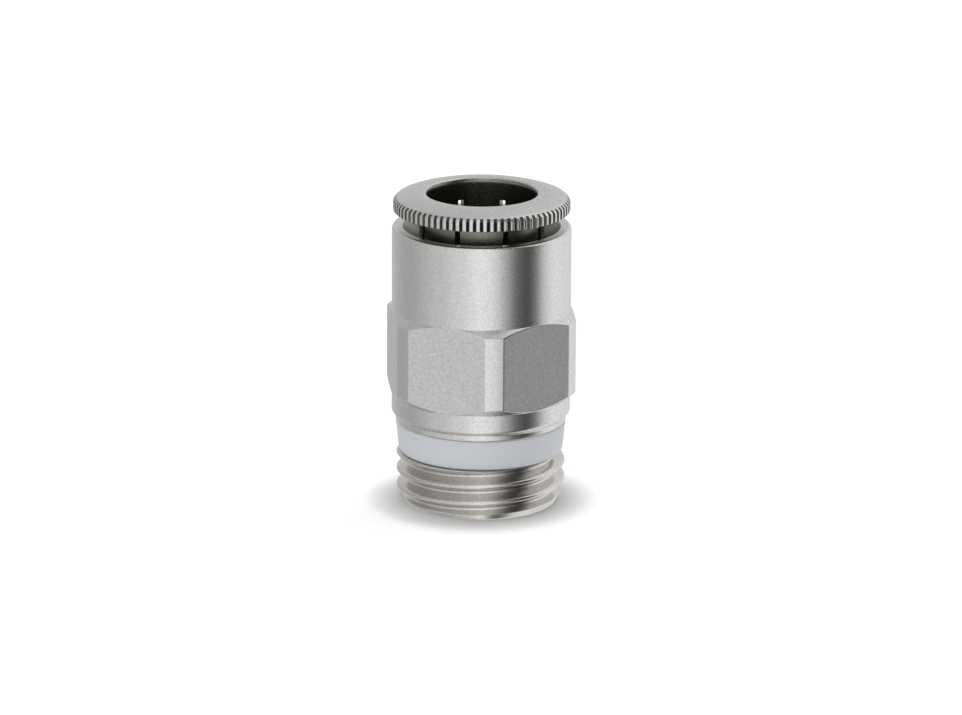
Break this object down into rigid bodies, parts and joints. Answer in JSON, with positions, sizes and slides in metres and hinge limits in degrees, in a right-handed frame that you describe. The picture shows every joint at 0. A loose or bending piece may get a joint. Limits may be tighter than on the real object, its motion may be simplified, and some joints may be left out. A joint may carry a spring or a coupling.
{
  "type": "push-in tube fitting",
  "caption": "Straight push-in fitting with a male pipe thread, a hexagon on a round barrel, and a knurled collet that grips a tube and lets it go when pushed.",
  "frame": {"origin": "centre of the thread's end face, on the axis of the fitting", "axes": "+Z along the axis, from the thread to the knurled ring where the tube goes in; one corner of the hexagon is 7.8 degrees from -Y towards +X"},
  "size_m": [0.0148, 0.0154, 0.0249],
  "materials": {
    "nickel_plated_body": "satin nickel plate over turned brass",
    "nickel_plated_collet": "satin nickel plate over turned and knurled brass",
    "black_rubber": "smooth moulded nitrile rubber",
    "white_ptfe": "dull waxy PTFE"
  },
  "bodies": {
    "fitting": {"body": "nickel_plated_body", "thread_seal": "white_ptfe", "tube_seal": "black_rubber"},
    "release_ring": {"collet": "nickel_plated_collet"}
  },
  "joints": [
    {"name": "collet_push", "type": "slide", "parent": "fitting", "child": "release_ring", "axis": [0, 0, -1], "range_m": [0, 0.0012]}
  ]
}
